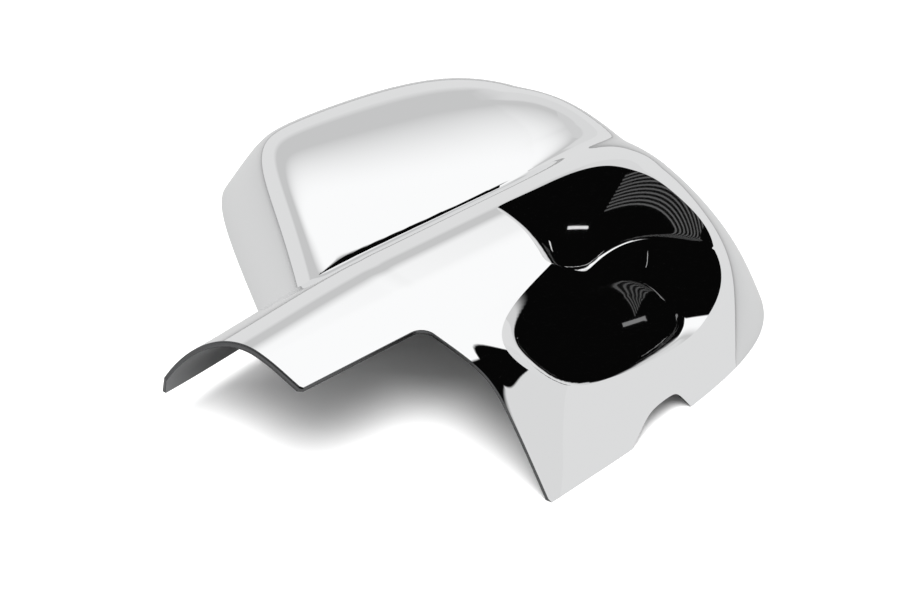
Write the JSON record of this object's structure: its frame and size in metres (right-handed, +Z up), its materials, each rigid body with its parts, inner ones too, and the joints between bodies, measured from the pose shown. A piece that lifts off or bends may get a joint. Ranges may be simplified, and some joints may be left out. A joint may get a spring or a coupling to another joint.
{
  "type": "wing mirror cover",
  "caption": "Thin bright-plated shell that covers a vehicle's wing mirror head and arm, with a crowned dome, a half-tube arm, a scooped pocket and an open underside.",
  "frame": {"origin": "centre of the overall box, on the plane of the rim that the cover lies on", "axes": "+X outboard, along the arm's line and away from its open end; +Y from the flank toward the dome; +Z up through the outer face"},
  "size_m": [0.3052, 0.2999, 0.0524],
  "materials": {
    "plated_shell": "mirror-bright plating on moulded plastic, duller inside"
  },
  "bodies": {
    "root": {"mirror_cover": "plated_shell"}
  },
  "joints": []
}
